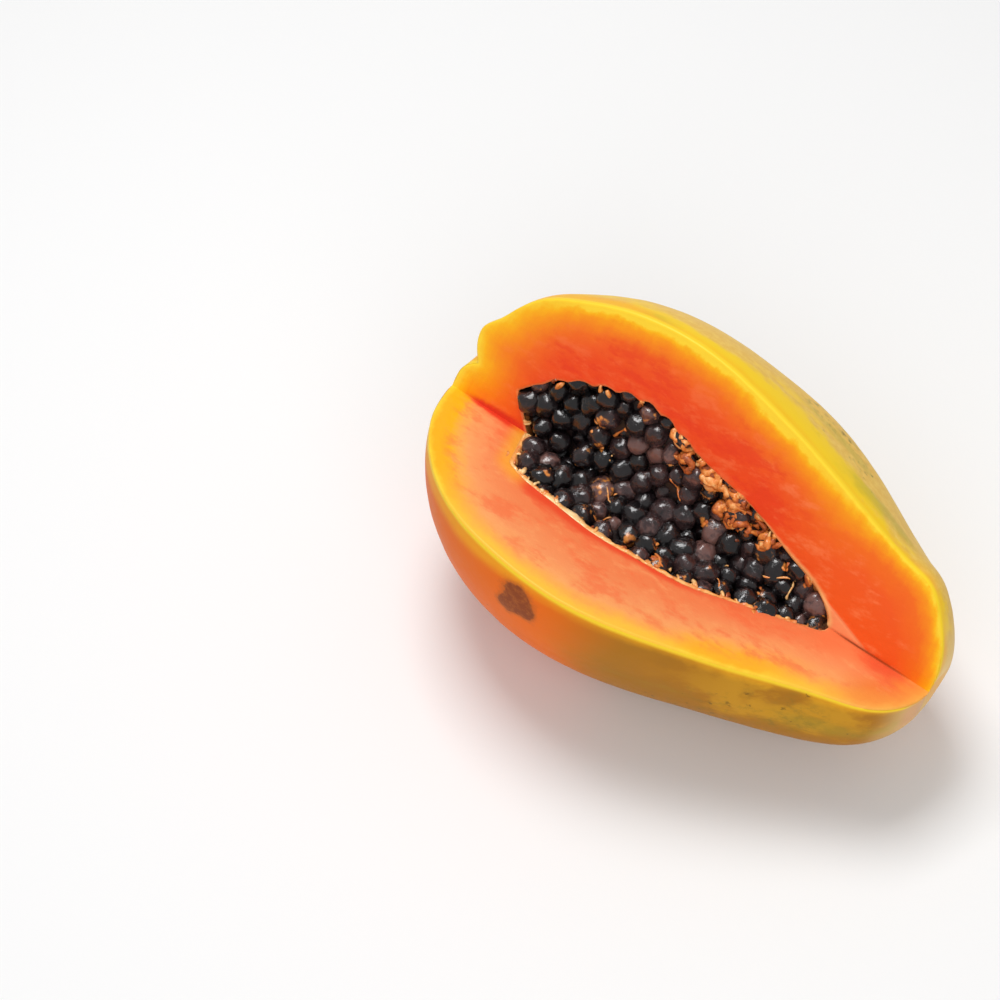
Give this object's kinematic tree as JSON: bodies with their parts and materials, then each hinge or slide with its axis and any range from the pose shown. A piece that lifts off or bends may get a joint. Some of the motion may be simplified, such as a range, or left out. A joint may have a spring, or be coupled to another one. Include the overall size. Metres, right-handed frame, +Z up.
{
  "type": "cut papaya",
  "caption": "Ripe papaya lying on its skin with a lengthwise wedge cut out, showing orange flesh and a cavity packed with dark seeds.",
  "frame": {"origin": "on the surface that the fruit lies on, below the middle of its box", "axes": "+X from the blossom end to the stem end, -Y the side that the wedge faces, +Z up"},
  "size_m": [0.1726, 0.1108, 0.1049],
  "materials": {
    "fruit": "yellow waxy skin outside, moist orange flesh on the cut faces",
    "seeds": "wet, near black with a brown tinge"
  },
  "bodies": {
    "root": {"fruit": "fruit", "seeds": "seeds"}
  },
  "joints": []
}
